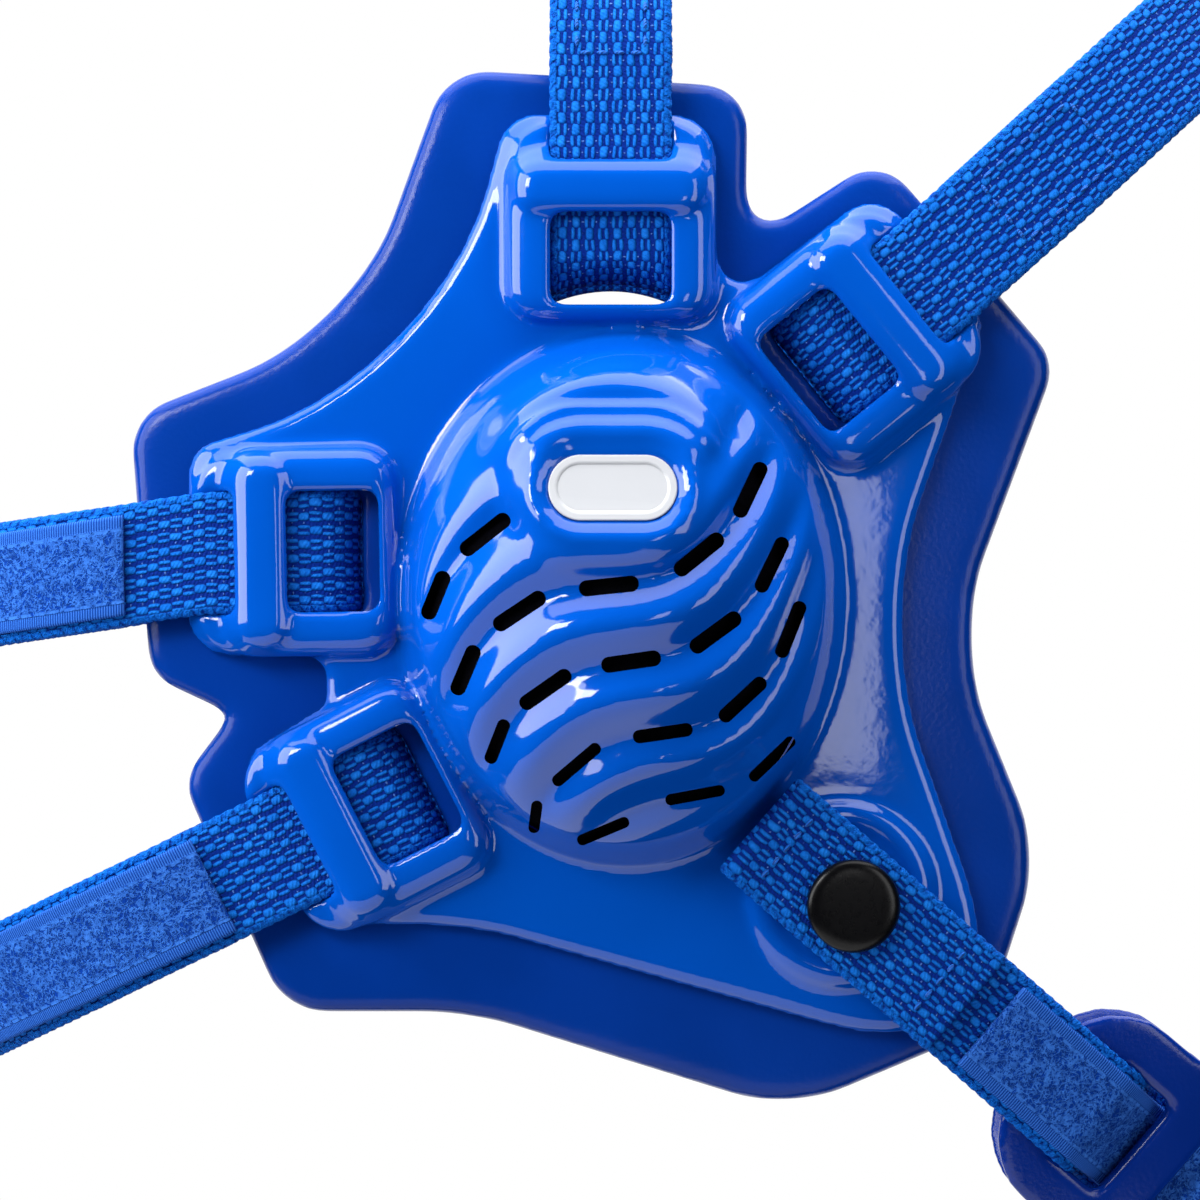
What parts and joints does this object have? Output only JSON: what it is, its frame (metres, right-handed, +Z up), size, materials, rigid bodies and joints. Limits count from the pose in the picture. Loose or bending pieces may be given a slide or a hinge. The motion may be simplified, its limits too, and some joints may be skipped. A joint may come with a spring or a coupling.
{
  "type": "wrestling headgear",
  "caption": "Wrestling headgear: moulded, vented ear guards on foam pads, held over the head by woven straps and under the chin by a strap with a soft cup.",
  "frame": {"origin": "top of the head's hollow, under the middle of the crown strap, where the head seats", "axes": "+Z up, the face towards -Y, the wearer's right at -X"},
  "size_m": [0.2302, 0.245, 0.2546],
  "materials": {
    "shell": "glossy royal blue moulded plastic",
    "pad": "satin blue vinyl skin over foam",
    "badge": "bare white plate",
    "webbing": "coarse blue webbing",
    "loop_tape": "fuzzy blue loop tape",
    "snap": "satin black",
    "cup": "satin blue vinyl"
  },
  "bodies": {
    "root": {"ear_shell_right": "shell", "ear_shell_left": "shell", "ear_pad_right": "pad", "ear_pad_left": "pad", "badge_right": "badge", "badge_left": "badge", "crown_strap": "webbing", "front_strap": "webbing", "rear_strap_upper": "webbing", "rear_strap_lower": "webbing", "rear_patch_upper": "loop_tape", "rear_patch_lower": "loop_tape", "chin_patch": "loop_tape", "chin_strap": "webbing", "chin_snap_right": "snap", "chin_snap_left": "snap", "chin_cup": "cup"}
  },
  "joints": []
}
